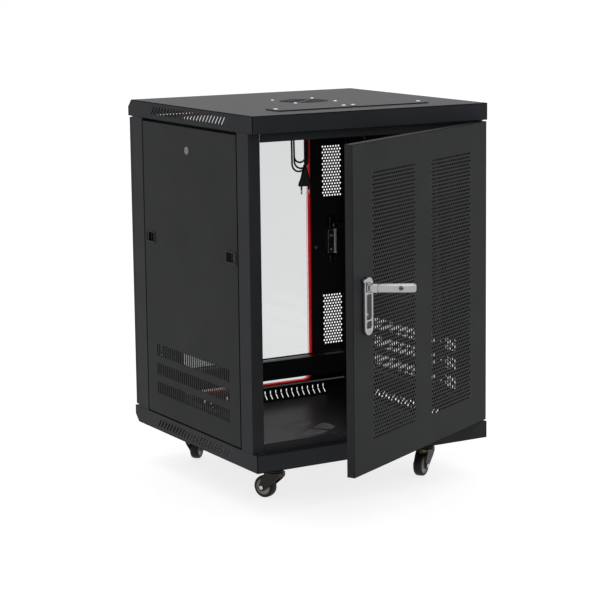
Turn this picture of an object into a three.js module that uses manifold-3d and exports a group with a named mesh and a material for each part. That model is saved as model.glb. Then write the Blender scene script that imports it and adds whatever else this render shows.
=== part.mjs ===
// A 15U network server cabinet on swivel casters: steel top cover and base, C-section posts, 19-inch
// mounting rails, a mesh door and a glass door with swing handles, two removable side panels and a
// roof fan with its mains cord. Millimetres, +Z up. The mesh door faces -Y and stands ajar.
import * as THREE from "three";
import { mergeVertices } from "three/addons/utils/BufferGeometryUtils.js";
import Module from "manifold-3d";

const wasm = await Module();
wasm.setup();

// Driving dimensions of the cabinet
const WIDTH = 600;
const DEPTH = 600;
const BODY_HEIGHT = 767;
const GROUND_CLEARANCE = 92; // ground to the bottom of the base
const TRAY_HEIGHT = 38; // top cover and base are trays of this height
const CHAMFER = 17; // along the rear edge of the cover and of the base
const SHEET = 2; // folded steel of the frame
const SKIN = 1.5; // folded steel of the doors and side panels
const GAP = 0.3; // between pieces that touch

// Front and rear: the doors stand in a recess, with their faces level with the trays
const RECESS = 20.5;
const DOOR_DEPTH = 18;
const DOOR_GAP = 3.5; // above and below a door
const DOOR_OPEN_DEG = 28; // how far the mesh door stands open
const SILL_RISE = 20; // lip that the closed mesh door covers

// Frame
const POST_FRONT = 28; // width of a post's front face
const POST_SIDE = 50; // width of a post's side face
const POST_INNER = 37.5; // width of the return that carries the braces
const SIDE_INSET = 0.5; // posts and side panels stand back this far from the trays
const RAIL_HOLES = 465.1; // between the hole columns of the 19-inch rails
const RAIL_CLEAR = 450; // clear width between the rails
const RAIL_LENGTH = 15 * 44.45;
const RAIL_FRONT = 190; // from the middle to the face of the front or rear rails
const RAIL_RETURN = 38;
const BRACE = 18;
const BRACE_HEIGHTS = [68, 678]; // above the bottom of the base

// Derived places
const HALF_W = WIDTH / 2;
const HALF_D = DEPTH / 2;
const BASE_Z = GROUND_CLEARANCE;
const TOP_Z = BASE_Z + BODY_HEIGHT;
const BASE_TOP = BASE_Z + TRAY_HEIGHT;
const COVER_BOTTOM = TOP_Z - TRAY_HEIGHT;
const MID_Z = (BASE_Z + TOP_Z) / 2;
const POST_X = HALF_W - SIDE_INSET;
const POST_Y = HALF_D - RECESS;
const DOOR_BOTTOM = BASE_TOP + DOOR_GAP;
const DOOR_TOP = COVER_BOTTOM - DOOR_GAP;
const DOOR_FACE = HALF_D - 0.5;

// Hinges and handles of the two doors, which are alike
const HINGE = new THREE.Vector2(292, -291);
const PIN = { radius: 3, reach: 9, length: 34, clearance: 0.35 };
const HANDLE_X = -247;
const HANDLE_Z = BASE_Z + 430;
const LEVER_LIFT_DEG = 60; // how far the mesh door's lever is pulled out
const LEVER_SWING_DEG = 90; // and how far it is swung up from the parked place

const material = (color, roughness, metalness, extra = {}) =>
  new THREE.MeshStandardMaterial({ color, roughness, metalness, ...extra });
const STEEL = material(0x2f3032, 0.55, 0.3);
const PANEL = material(0x343536, 0.6, 0.3);
const RAIL = material(0x26272a, 0.5, 0.4);
const SATIN = material(0x9b9c9e, 0.32, 0.9);
const CHROME = material(0xc4c6c8, 0.2, 1);
const BLACK_PLASTIC = material(0x111112, 0.5, 0);
const FAN_PLASTIC = material(0x19191b, 0.6, 0);
const CORD_BLACK = material(0x0c0c0d, 0.55, 0);
const RED_TRIM = material(0xb01512, 0.45, 0);
const GLASS = material(0xdfe8ea, 0.05, 0, { transparent: true, opacity: 0.3 });
const CASTER_STEEL = material(0x1d1c1b, 0.45, 0.6);
const TYRE = material(0x101011, 0.6, 0);

const radians = THREE.MathUtils.degToRad;

// ---- Solids: every shape is a three.js geometry, joined or cut as a manifold ----

function solid(geometry) {
  const bare = geometry.clone();
  bare.deleteAttribute("normal");
  bare.deleteAttribute("uv");
  const merged = mergeVertices(bare);
  return new wasm.Manifold(
    new wasm.Mesh({
      numProp: 3,
      vertProperties: new Float32Array(merged.attributes.position.array),
      triVerts: new Uint32Array(merged.index.array),
    }),
  );
}

function box(x0, x1, y0, y1, z0, z1) {
  const geometry = new THREE.BoxGeometry(x1 - x0, y1 - y0, z1 - z0);
  return solid(geometry.translate((x0 + x1) / 2, (y0 + y1) / 2, (z0 + z1) / 2));
}

// A prism along an axis. Its outline lies in the plane YZ for x, ZX for y and XY for z.
function prism(axis, outline, from, to, holes = []) {
  const shape = outline instanceof THREE.Shape ? outline : new THREE.Shape(outline.map(toVector));
  shape.holes = holes;
  const geometry = new THREE.ExtrudeGeometry(shape, {
    depth: to - from,
    bevelEnabled: false,
    curveSegments: 6,
  });
  const x = new THREE.Vector3(1, 0, 0);
  const y = new THREE.Vector3(0, 1, 0);
  const z = new THREE.Vector3(0, 0, 1);
  const bases = { x: [y, z, x], y: [z, x, y], z: [x, y, z] };
  geometry.translate(0, 0, from);
  geometry.applyMatrix4(new THREE.Matrix4().makeBasis(...bases[axis]));
  return solid(geometry);
}

function toVector([a, b]) {
  return new THREE.Vector2(a, b);
}

// A cylinder along an axis, through a point given in the two other directions, in cyclic order
function rod(axis, a, b, from, to, radius, sides = 20) {
  const geometry = new THREE.CylinderGeometry(radius, radius, to - from, sides);
  const middle = (from + to) / 2;
  if (axis === "x") geometry.rotateZ(-Math.PI / 2).translate(middle, a, b);
  if (axis === "y") geometry.translate(b, middle, a);
  if (axis === "z") geometry.rotateX(Math.PI / 2).translate(a, b, middle);
  return solid(geometry);
}

function roundedRectangle(a0, a1, b0, b1, radius) {
  const shape = new THREE.Shape();
  shape.absarc(a1 - radius, b1 - radius, radius, 0, Math.PI / 2);
  shape.absarc(a0 + radius, b1 - radius, radius, Math.PI / 2, Math.PI);
  shape.absarc(a0 + radius, b0 + radius, radius, Math.PI, Math.PI * 1.5);
  shape.absarc(a1 - radius, b0 + radius, radius, Math.PI * 1.5, Math.PI * 2);
  return shape;
}

const union = (...solids) => solids.reduce((whole, next) => whole.add(next));
const cut = (whole, ...solids) => solids.reduce((left, next) => left.subtract(next), whole);

function piece(name, body, surface, parent) {
  const { vertProperties, triVerts, numProp } = body.getMesh();
  const geometry = new THREE.BufferGeometry();
  const positions = new THREE.InterleavedBuffer(new Float32Array(vertProperties), numProp);
  geometry.setAttribute("position", new THREE.InterleavedBufferAttribute(positions, 3, 0));
  geometry.setIndex(new THREE.BufferAttribute(new Uint32Array(triVerts), 1));
  const faceted = geometry.toNonIndexed();
  faceted.computeVertexNormals();
  const mesh = new THREE.Mesh(faceted, surface);
  mesh.name = name;
  parent.add(mesh);
  return mesh;
}

function group(parent) {
  const made = new THREE.Group();
  parent.add(made);
  return made;
}

const cabinet = new THREE.Group();
const SIDES = { left: -1, right: 1 };
const ENDS = { front: -1, rear: 1 };

// ---- Top cover and base: folded trays, the cover upside down ----

// face is the height of the tray's outer sheet, and up is +1 for the base and -1 for the cover
function tray(face, up) {
  const height = (h) => face + up * h;
  const rise = SHEET * (Math.SQRT2 - 1);
  const outer = [
    [-HALF_D, 0],
    [HALF_D - CHAMFER, 0],
    [HALF_D, CHAMFER],
    [HALF_D, TRAY_HEIGHT],
    [-HALF_D, TRAY_HEIGHT],
  ];
  const inner = [
    [-HALF_D + SHEET, SHEET],
    [HALF_D - CHAMFER - rise, SHEET],
    [HALF_D - SHEET, CHAMFER + rise],
    [HALF_D - SHEET, TRAY_HEIGHT - SHEET],
    [-HALF_D + SHEET, TRAY_HEIGHT - SHEET],
  ];
  const at = (points) => points.map(([y, h]) => [y, height(h)]);
  const span = (h0, h1) => [Math.min(height(h0), height(h1)), Math.max(height(h0), height(h1))];
  const rim = 14;
  const lip = HALF_D - 19;
  const lipEnd = POST_X - POST_FRONT - GAP;
  const through = span(SHEET * 2, TRAY_HEIGHT + 1);
  const opening = box(-HALF_W + rim, HALF_W - rim, -lip + SHEET, lip, ...through);
  const bore = PIN.radius + PIN.clearance;
  const pinHole = (x, y) => rod("z", x, y, ...span(TRAY_HEIGHT - 6, TRAY_HEIGHT + 1), bore, 16);
  const shell = cut(
    prism("x", at(outer), -HALF_W, HALF_W),
    prism("x", at(inner), -HALF_W + SHEET, HALF_W - SHEET),
    opening,
    pinHole(HINGE.x, HINGE.y),
    pinHole(-HINGE.x, -HINGE.y),
  );
  const sill = box(
    -lipEnd,
    lipEnd,
    -lip,
    -lip + SHEET,
    ...span(TRAY_HEIGHT - SHEET, TRAY_HEIGHT + SILL_RISE),
  );
  return shell.add(sill);
}

// ---- Frame: posts, 19-inch rails, braces and the rear cross beam ----

function post(sideSign, endSign) {
  const outline = [
    [POST_X, POST_Y],
    [POST_X - POST_FRONT, POST_Y],
    [POST_X - POST_FRONT, POST_Y - SHEET],
    [POST_X - SHEET, POST_Y - SHEET],
    [POST_X - SHEET, POST_Y - POST_SIDE + SHEET],
    [POST_X - POST_INNER, POST_Y - POST_SIDE + SHEET],
    [POST_X - POST_INNER, POST_Y - POST_SIDE],
    [POST_X, POST_Y - POST_SIDE],
  ];
  const placed = outline.map(([x, y]) => [x * sideSign, y * endSign]);
  return prism("z", placed, BASE_TOP + GAP, COVER_BOTTOM - GAP);
}

function mountingRail(sideSign, endSign) {
  const clear = RAIL_CLEAR / 2;
  const outside = POST_X - POST_INNER - GAP;
  const outline = [
    [clear, RAIL_FRONT],
    [outside, RAIL_FRONT],
    [outside, RAIL_FRONT - RAIL_RETURN],
    [outside - SHEET, RAIL_FRONT - RAIL_RETURN],
    [outside - SHEET, RAIL_FRONT - SHEET],
    [clear, RAIL_FRONT - SHEET],
  ];
  const placed = outline.map(([x, y]) => [x * sideSign, y * endSign]);
  return prism("z", placed, MID_Z - RAIL_LENGTH / 2, MID_Z + RAIL_LENGTH / 2);
}

function brace(sideSign, height) {
  const inside = POST_X - POST_INNER;
  const reach = POST_Y - POST_SIDE - GAP;
  const xs = [inside * sideSign, (inside + BRACE) * sideSign].sort((a, b) => a - b);
  return box(...xs, -reach, reach, BASE_Z + height, BASE_Z + height + BRACE);
}

// A folded beam between the rear posts, with a thin lip standing clear above it on three tabs
function rearCrossBeam() {
  const end = POST_X - SHEET - GAP;
  const [webFront, webBack, shelfBack] = [240, 242, 262];
  const [bottom, top, lipBottom, lipTop] = [66, 113, 118.5, 122.5].map((h) => BASE_Z + h);
  const web = box(-end, end, webFront, webBack, bottom, top);
  const shelf = box(-end, end, webFront, shelfBack, top - SHEET, top);
  const lip = box(-end, end, webFront, webBack, lipBottom, lipTop);
  const tab = (x) => box(x - 6, x + 6, webFront, webBack, top - 1, lipBottom + 1);
  return union(web, shelf, lip, tab(-end + 6), tab(0), tab(end - 6));
}

function buildFrame() {
  piece("top_cover", tray(TOP_Z, -1), STEEL, cabinet);
  piece("base_tray", tray(BASE_Z, 1), STEEL, cabinet);
  for (const [end, endSign] of Object.entries(ENDS)) {
    for (const [side, sideSign] of Object.entries(SIDES)) {
      piece(`post_${end}_${side}`, post(sideSign, endSign), STEEL, cabinet);
      piece(`rail_${end}_${side}`, mountingRail(sideSign, endSign), RAIL, cabinet);
    }
  }
  for (const [side, sideSign] of Object.entries(SIDES)) {
    piece(`brace_lower_${side}`, brace(sideSign, BRACE_HEIGHTS[0]), RAIL, cabinet);
    piece(`brace_upper_${side}`, brace(sideSign, BRACE_HEIGHTS[1]), RAIL, cabinet);
  }
  piece("rear_cross_beam", rearCrossBeam(), RAIL, cabinet);
}

// ---- Roof: two cable entry plates and the fan ----

const PLATE = { x: 98, y: -195, width: 190, depth: 62, thickness: 2 };
const FAN = { size: 120, height: 38, bore: 57, hub: 20, blades: 7, tip: 54 };
const FAN_TOP = TOP_Z - SHEET - GAP;
const FAN_BOTTOM = FAN_TOP - FAN.height;

function cablePlate(sideSign) {
  const x = PLATE.x * sideSign;
  const [halfX, halfY] = [PLATE.width / 2, PLATE.depth / 2];
  const outline = roundedRectangle(x - halfX, x + halfX, PLATE.y - halfY, PLATE.y + halfY, 4);
  return prism("z", outline, TOP_Z + GAP, TOP_Z + GAP + PLATE.thickness);
}

function fanHousing() {
  const half = FAN.size / 2;
  const strut = 2.5;
  const frame = cut(
    prism("z", roundedRectangle(-half, half, -half, half, 6), FAN_BOTTOM, FAN_TOP),
    rod("z", 0, 0, FAN_BOTTOM - 1, FAN_TOP + 1, FAN.bore, 32),
  );
  const reach = FAN.bore + 1;
  return union(
    frame,
    box(-reach, reach, -3, 3, FAN_BOTTOM, FAN_BOTTOM + strut),
    box(-3, 3, -reach, reach, FAN_BOTTOM, FAN_BOTTOM + strut),
    rod("z", 0, 0, FAN_BOTTOM, FAN_BOTTOM + strut, FAN.hub + 2, 24),
  );
}

function fanRotor() {
  const bottom = FAN_BOTTOM + 3;
  const top = FAN_TOP - 4;
  const middle = (bottom + top) / 2;
  let rotor = rod("z", 0, 0, bottom, top, FAN.hub, 24);
  for (let i = 0; i < FAN.blades; i++) {
    const length = FAN.tip - FAN.hub + 4;
    const blade = new THREE.BoxGeometry(length, 2.2, 24);
    blade.rotateX(radians(38));
    blade.translate(FAN.hub - 4 + length / 2, 0, middle);
    blade.rotateZ((i * 2 * Math.PI) / FAN.blades);
    rotor = rotor.add(solid(blade));
  }
  return rotor;
}

function buildRoof() {
  for (const [side, sideSign] of Object.entries(SIDES)) {
    piece(`cable_plate_${side}`, cablePlate(sideSign), STEEL, cabinet);
  }
  piece("fan_housing", fanHousing(), FAN_PLASTIC, cabinet);
  piece("fan_rotor", fanRotor(), FAN_PLASTIC, cabinet);
}

// ---- Fan cord: from the fan's front side down to a hanging hank, and on to a two-pin plug ----

const CORD_RADIUS = 2.1;
const FAN_CORD_ROUTE = [
  [-45, -60.3, 838],
  [-45, -65, 838],
  [-45.5, -70, 836.5],
  [-47, -74, 832],
  [-50, -75, 826],
  [-53, -73, 820],
  [-55.5, -69, 815],
  [-57, -66, 810.5],
  [-57, -66, 806.3],
];
const CORD_TAIL_ROUTE = [
  [-57, -74.3, 797],
  [-57, -77, 797],
  [-56.5, -81, 794],
  [-54.5, -84, 787],
  [-52.5, -85, 779],
  [-50.5, -84, 768],
  [-49, -84, 752],
  [-48, -84, 738],
  [-48, -84, 723.3],
];
const HANK = { x0: -76, x1: -32, y0: -74, y1: -58, bottom: 706, top: 806 };
const PLUG = { x: -48, y: -84, top: 723, body: 675, pins: 656 };

function cordTube(route) {
  const path = new THREE.CatmullRomCurve3(route.map((p) => new THREE.Vector3(...p)));
  const section = new THREE.Shape();
  section.absarc(0, 0, CORD_RADIUS, 0, Math.PI * 2);
  const steps = Math.ceil(path.getLength() / (2.5 * CORD_RADIUS * 2));
  const geometry = new THREE.ExtrudeGeometry(section, {
    extrudePath: path,
    steps,
    curveSegments: 4,
  });
  return solid(geometry);
}

function plug() {
  const outline = [
    [PLUG.body, PLUG.x - 17],
    [PLUG.body + 5, PLUG.x - 16],
    [PLUG.body + 22, PLUG.x - 8],
    [PLUG.top, PLUG.x - 4],
    [PLUG.top, PLUG.x + 4],
    [PLUG.body + 22, PLUG.x + 8],
    [PLUG.body + 5, PLUG.x + 16],
    [PLUG.body, PLUG.x + 17],
  ];
  const body = prism("y", outline, PLUG.y - 6.5, PLUG.y + 6.5);
  const pin = (x) => rod("z", PLUG.x + x, PLUG.y, PLUG.pins, PLUG.body + 2, 2, 10);
  return union(body, pin(-9.5), pin(9.5));
}

function buildCord() {
  const hank = roundedRectangle(HANK.bottom, HANK.top, HANK.x0, HANK.x1, 20);
  piece("fan_cord", cordTube(FAN_CORD_ROUTE), CORD_BLACK, cabinet);
  piece("cord_hank", prism("y", hank, HANK.y0, HANK.y1), CORD_BLACK, cabinet);
  piece("cord_tail", cordTube(CORD_TAIL_ROUTE), CORD_BLACK, cabinet);
  piece("cord_plug", plug(), CORD_BLACK, cabinet);
}

// ---- Swing handle: base plate, hub with its latch cam, lever and lock cylinder ----
// Built on the door's outer face about the hub's axis: X to the right, Z up, -Y outwards.

const HANDLE = {
  halfWidth: 16,
  above: 21.5,
  below: 98.5,
  plate: 8,
  hub: 10,
  cam: [23.5, 26.5], // how far behind the door's face the cam turns
  camLength: 48,
  pivot: 16.5, // lever pivot, out from the door's face
  lever: 88, // pivot to the lever's end
  leverWidth: 19,
  leverThick: 10,
  lock: 57, // pivot to the lock cylinder
};

function handlePlate() {
  const outline = roundedRectangle(
    -HANDLE.below,
    HANDLE.above,
    -HANDLE.halfWidth,
    HANDLE.halfWidth,
    9,
  );
  const hole = new THREE.Path();
  hole.absarc(0, 0, HANDLE.hub + 0.4, 0, Math.PI * 2);
  return prism("y", outline, -GAP - HANDLE.plate, -GAP, [hole]);
}

function handleHub() {
  const out = -HANDLE.plate - 1.2;
  const [camFrom, camTo] = HANDLE.cam;
  return union(
    rod("y", 0, 0, out, camTo, HANDLE.hub, 24),
    box(-HANDLE.camLength, 7, camFrom, camTo, -7, 7),
    box(-4, 4, -HANDLE.pivot - 4, out + 1, -4, 4),
    rod("x", -HANDLE.pivot, 0, -9.5, 9.5, 2.4, 16),
  );
}

// The lever in its parked place, pointing down, about its pivot
function handleLever() {
  const [half, thick] = [HANDLE.leverWidth / 2, HANDLE.leverThick / 2];
  const grip = roundedRectangle(-HANDLE.lever, -8, -half, half, 5);
  const cheek = (x0, x1) =>
    union(rod("x", 0, 0, x0, x1, thick + 0.2, 20), box(x0, x1, -thick, thick, -10, 0));
  const body = union(prism("y", grip, -thick, thick), cheek(-half, -4.5), cheek(4.5, half));
  return cut(
    body,
    rod("x", 0, 0, -half - 1, half + 1, 2.8, 16),
    rod("y", -HANDLE.lock, 0, -thick - 1, thick + 1, 7.4, 24),
  );
}

function lockCylinder() {
  const thick = HANDLE.leverThick / 2;
  const barrel = rod("y", -HANDLE.lock, 0, -thick - 1.5, thick + 1.5, 7, 24);
  const keyway = box(-0.8, 0.8, -thick - 2, -thick, -HANDLE.lock - 3.5, -HANDLE.lock + 3.5);
  return cut(barrel, keyway);
}

function buildHandle(prefix, door, surface, swingDeg, liftDeg) {
  const mount = group(door);
  mount.position.set(HANDLE_X, -DOOR_FACE, HANDLE_Z);
  piece(`${prefix}_handle_plate`, handlePlate(), surface, mount);
  const swing = group(mount);
  swing.rotation.y = radians(-swingDeg);
  piece(`${prefix}_handle_hub`, handleHub(), surface, swing);
  const lift = group(swing);
  lift.position.set(0, -HANDLE.pivot, 0);
  lift.rotation.x = radians(-liftDeg);
  piece(`${prefix}_handle_lever`, handleLever(), surface, lift);
  piece(`${prefix}_lock_cylinder`, lockCylinder(), CHROME, lift);
}

// ---- Doors, built closed, as the front door: hinge at the right, outer face towards -Y ----

const DOOR_FREE = -HALF_W + 2;
const DOOR_HINGED = HINGE.x + 5;
const WINDOW = { half: 180, margin: 2.2, radius: 22, trim: 3.3 };

function doorShell(window = null) {
  const [outer, inner] = [-DOOR_FACE, -DOOR_FACE + DOOR_DEPTH];
  const walls = box(DOOR_FREE, DOOR_HINGED, outer, inner, DOOR_BOTTOM, DOOR_TOP);
  const [left, right] = [DOOR_FREE + SKIN, DOOR_HINGED - SKIN];
  const [bottom, top] = [DOOR_BOTTOM + SKIN, DOOR_TOP - SKIN];
  const hollow = box(left, right, outer + SKIN, inner + 1, bottom, top);
  const hubHole = rod("y", HANDLE_Z, HANDLE_X, outer - 1, inner, HANDLE.hub + 0.4, 24);
  const bore = PIN.radius + PIN.clearance;
  const pinHole = (z0, z1) => rod("z", HINGE.x, HINGE.y, z0, z1, bore, 16);
  const shell = cut(
    walls,
    hollow,
    hubHole,
    pinHole(DOOR_BOTTOM - 1, DOOR_BOTTOM + 3),
    pinHole(DOOR_TOP - 3, DOOR_TOP + 1),
  );
  return window ? cut(shell, window) : shell;
}

function windowOutline(inset) {
  const half = WINDOW.half - inset;
  const [bottom, top] = [DOOR_BOTTOM + WINDOW.margin + inset, DOOR_TOP - WINDOW.margin - inset];
  return roundedRectangle(bottom, top, -half, half, WINDOW.radius - inset);
}

function hingePin(z0, z1) {
  return rod("z", HINGE.x, HINGE.y, z0, z1, PIN.radius, 16);
}

// Sprung bolts that stand out of the door's ends, into the flanges of the cover and the base
function buildHingePins(prefix, door) {
  const lower = hingePin(DOOR_BOTTOM - PIN.reach, DOOR_BOTTOM + PIN.length);
  const upper = hingePin(DOOR_TOP - PIN.length, DOOR_TOP + PIN.reach);
  piece(`${prefix}_pin_lower`, lower, CHROME, door);
  piece(`${prefix}_pin_upper`, upper, CHROME, door);
}

function buildMeshDoor() {
  const hinge = group(cabinet);
  hinge.position.set(HINGE.x, HINGE.y, 0);
  hinge.rotation.z = radians(DOOR_OPEN_DEG);
  const door = group(hinge);
  door.position.set(-HINGE.x, -HINGE.y, 0);
  piece("mesh_door_shell", doorShell(), PANEL, door);
  buildHingePins("mesh_door", door);
  buildHandle("mesh_door", door, SATIN, LEVER_SWING_DEG, LEVER_LIFT_DEG);
}

function buildGlassDoor() {
  const door = group(cabinet);
  door.rotation.z = Math.PI;
  const [outer, inner] = [-DOOR_FACE, -DOOR_FACE + DOOR_DEPTH];
  const window = prism("y", windowOutline(0), outer - 1, inner + 1);
  piece("glass_door_frame", doorShell(window), PANEL, door);
  const trim = prism("y", windowOutline(GAP), outer, inner - 1, [windowOutline(WINDOW.trim)]);
  piece("glass_door_trim", trim, RED_TRIM, door);
  const pane = prism("y", windowOutline(WINDOW.trim + GAP), outer + 3, outer + 8);
  piece("glass_door_pane", pane, GLASS, door);
  buildHingePins("glass_door", door);
  buildHandle("glass_door", door, BLACK_PLASTIC, 0, 0);
}

// ---- Side panels: folded skins held by a cam lock and two slide latches ----

const SIDE = { halfY: 226, bottom: 40.5, top: 723, flange: 14, lockY: 5, lockZ: 670, lockR: 10 };
const LATCH = { y: 200, z: 456, halfY: 15, halfZ: 10, travel: 8 };
const SIDE_BOTTOM = BASE_Z + SIDE.bottom;
const SIDE_TOP = BASE_Z + SIDE.top;

function sidePanel(mirrorX) {
  const [outer, inner] = [POST_X, POST_X - SIDE.flange];
  const walls = mirrorX.box(inner, outer, -SIDE.halfY, SIDE.halfY, SIDE_BOTTOM, SIDE_TOP);
  const edge = SIDE.halfY - SKIN;
  const [bottom, top] = [SIDE_BOTTOM + SKIN, SIDE_TOP - SKIN];
  const hollow = mirrorX.box(inner - 1, outer - SKIN, -edge, edge, bottom, top);
  const lockHole = mirrorX.rod(SIDE.lockY, BASE_Z + SIDE.lockZ, inner, outer + 1, SIDE.lockR + 0.4);
  const [y0, y1] = [LATCH.y - LATCH.halfY - LATCH.travel - 2, LATCH.y + LATCH.halfY - 0.5];
  const z = BASE_Z + LATCH.z;
  const [z0, z1] = [z - LATCH.halfZ - 0.5, z + LATCH.halfZ + 0.5];
  const window = (a, b) => mirrorX.box(inner, outer + 1, Math.min(a, b), Math.max(a, b), z0, z1);
  return cut(walls, hollow, lockHole, window(y0, y1), window(-y0, -y1));
}

// A quarter-turn lock with its cam pointing up behind the panel
function sideLock(mirrorX) {
  const z = BASE_Z + SIDE.lockZ;
  return union(
    mirrorX.rod(SIDE.lockY, z, POST_X - 16, POST_X + 0.4, SIDE.lockR),
    mirrorX.box(POST_X - 19, POST_X - 15.5, SIDE.lockY - 7, SIDE.lockY + 7, z - 8, z + 38),
  );
}

// A thumb slide with its bolt towards the nearer post
function slideLatch(mirrorX, endSign) {
  const z = BASE_Z + LATCH.z;
  const span = (a, b) => [a * endSign, b * endSign].sort((p, q) => p - q);
  const [inside, outside] = [LATCH.y - LATCH.halfY - 1, LATCH.y + LATCH.halfY - 1];
  const thumb = mirrorX.box(
    POST_X - 10,
    POST_X - 0.3,
    ...span(inside, outside),
    z - LATCH.halfZ,
    z + LATCH.halfZ,
  );
  const [boltFrom, boltTo] = [outside - 2, SIDE.halfY - SKIN - 0.5];
  const bolt = mirrorX.box(POST_X - 10, POST_X - 6, ...span(boltFrom, boltTo), z - 6, z + 6);
  return union(thumb, bolt);
}

// Boxes and rods along X whose x is counted outwards on one side of the cabinet
function outwards(sideSign) {
  const order = (a, b) => [a * sideSign, b * sideSign].sort((p, q) => p - q);
  return {
    box: (x0, x1, ...rest) => box(...order(x0, x1), ...rest),
    rod: (y, z, x0, x1, radius) => rod("x", y, z, ...order(x0, x1), radius, 24),
  };
}

function buildSidePanels() {
  for (const [side, sideSign] of Object.entries(SIDES)) {
    const mirrorX = outwards(sideSign);
    piece(`side_panel_${side}`, sidePanel(mirrorX), PANEL, cabinet);
    piece(`side_lock_${side}`, sideLock(mirrorX), CHROME, cabinet);
    for (const [end, endSign] of Object.entries(ENDS)) {
      piece(`side_latch_${end}_${side}`, slideLatch(mirrorX, endSign), BLACK_PLASTIC, cabinet);
    }
  }
}

// ---- Casters: each a fixed mount, a swivel fork with its axle, and a wheel ----
// Built about the swivel axis, with the wheel trailing towards -X.

const CASTER = {
  x: 200,
  y: 198,
  wheel: 25,
  tread: 22,
  trail: 26,
  axle: 4,
  legInside: 12.5,
  leg: 2.5,
  forkTop: 62,
  bracket: 18,
};
const CASTER_TURN_DEG = {
  front_left: -63,
  front_right: 32,
  rear_left: -136,
  rear_right: 100,
};

// A folded spacer under the base, the caster's top plate and the swivel head
function casterMount() {
  const top = GROUND_CLEARANCE - GAP;
  const plateTop = top - CASTER.bracket + GAP;
  const spacer = cut(
    box(-40, 40, -36, 36, plateTop, top),
    box(-38, 38, -37, 37, plateTop + 2, top + 1),
  );
  const tabs = union(
    box(-48, -38, -36, 36, top - 2, top),
    box(38, 48, -36, 36, top - 2, top),
  );
  return union(
    spacer,
    tabs,
    box(-31, 31, -25, 25, plateTop - 3, plateTop + 0.5),
    rod("z", 0, 0, CASTER.forkTop + GAP, plateTop - 2, 17, 24),
  );
}

function casterFork() {
  const [inside, outside] = [CASTER.legInside, CASTER.legInside + CASTER.leg];
  const top = CASTER.forkTop;
  const wheelX = -CASTER.trail;
  const leg = [
    [top, 18],
    [top - 12, 16],
    [CASTER.wheel - 7, wheelX + 7],
    [CASTER.wheel - 9, wheelX],
    [CASTER.wheel - 6, wheelX - 7],
    [CASTER.wheel + 2, wheelX - 8],
    [top - 8, -20],
    [top, -20],
  ];
  return union(
    box(-20, 18, -outside, outside, top - 3, top),
    rod("z", 0, 0, top - 3, top, 20, 24),
    prism("y", leg, inside, outside),
    prism("y", leg, -outside, -inside),
    rod("y", CASTER.wheel, wheelX, -outside - 3, outside + 3, CASTER.axle, 16),
    rod("y", CASTER.wheel, wheelX, outside - 1, outside + 4, 6.5, 6),
    rod("y", CASTER.wheel, wheelX, -outside - 4, -outside + 1, 6.5, 16),
  );
}

// A ring about Y, turned so that it rests on a flat facet
function casterWheel() {
  const facets = 24;
  const round = CASTER.wheel / Math.cos(Math.PI / facets);
  const [half, shoulder] = [CASTER.tread / 2, 3];
  const bore = CASTER.axle + 0.3;
  const profile = [
    [bore, -half],
    [round - 8, -half],
    [round - 7, -half + 1.5],
    [round - shoulder, -half + 1.5],
    [round, -half + 1.5 + shoulder],
    [round, half - 1.5 - shoulder],
    [round - shoulder, half - 1.5],
    [round - 7, half - 1.5],
    [round - 8, half],
    [bore, half],
    [bore, -half],
  ];
  const ring = new THREE.LatheGeometry(profile.map(toVector), facets);
  ring.rotateY(Math.PI / facets);
  return solid(ring);
}

function buildCasters() {
  for (const [end, endSign] of Object.entries(ENDS)) {
    for (const [side, sideSign] of Object.entries(SIDES)) {
      const corner = `${end}_${side}`;
      const place = group(cabinet);
      place.position.set(CASTER.x * sideSign, CASTER.y * endSign, 0);
      piece(`caster_mount_${corner}`, casterMount(), CASTER_STEEL, place);
      const swivel = group(place);
      swivel.rotation.z = radians(CASTER_TURN_DEG[corner]);
      piece(`caster_fork_${corner}`, casterFork(), CASTER_STEEL, swivel);
      const wheel = piece(`caster_wheel_${corner}`, casterWheel(), TYRE, swivel);
      wheel.position.set(-CASTER.trail, 0, CASTER.wheel);
    }
  }
}

buildFrame();
buildRoof();
buildCord();
buildMeshDoor();
buildGlassDoor();
buildSidePanels();
buildCasters();

// The origin is on the ground, at the middle of the footprint with the mesh door ajar
const footprint = new THREE.Box3().setFromObject(cabinet, true).getCenter(new THREE.Vector3());
cabinet.position.set(-footprint.x, -footprint.y, 0);
cabinet.updateMatrixWorld(true);

export default cabinet;
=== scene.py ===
# The looks of a 15U network cabinet on casters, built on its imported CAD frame.
# Lengths in this script are millimetres about the middle of the cabinet, with the ground at z = 0;
# PLACE turns them into the frame's metres. The lights and the floor are placed in metres.
import math

import bmesh
import bpy
from mathutils import Matrix, Vector


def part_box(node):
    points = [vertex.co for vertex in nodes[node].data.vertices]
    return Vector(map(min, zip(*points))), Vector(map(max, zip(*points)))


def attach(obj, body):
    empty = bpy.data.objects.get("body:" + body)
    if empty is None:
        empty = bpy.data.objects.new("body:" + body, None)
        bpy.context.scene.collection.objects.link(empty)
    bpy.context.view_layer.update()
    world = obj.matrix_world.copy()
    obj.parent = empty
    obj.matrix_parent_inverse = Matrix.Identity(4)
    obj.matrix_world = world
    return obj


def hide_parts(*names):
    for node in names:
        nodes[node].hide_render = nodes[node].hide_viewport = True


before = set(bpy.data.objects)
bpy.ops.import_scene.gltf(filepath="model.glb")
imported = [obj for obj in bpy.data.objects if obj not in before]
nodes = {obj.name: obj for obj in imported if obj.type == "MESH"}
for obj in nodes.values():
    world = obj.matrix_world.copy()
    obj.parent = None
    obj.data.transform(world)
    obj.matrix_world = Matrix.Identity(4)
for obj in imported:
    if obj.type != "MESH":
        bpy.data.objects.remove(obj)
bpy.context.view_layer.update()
base_low, base_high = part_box("base_tray")

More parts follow.
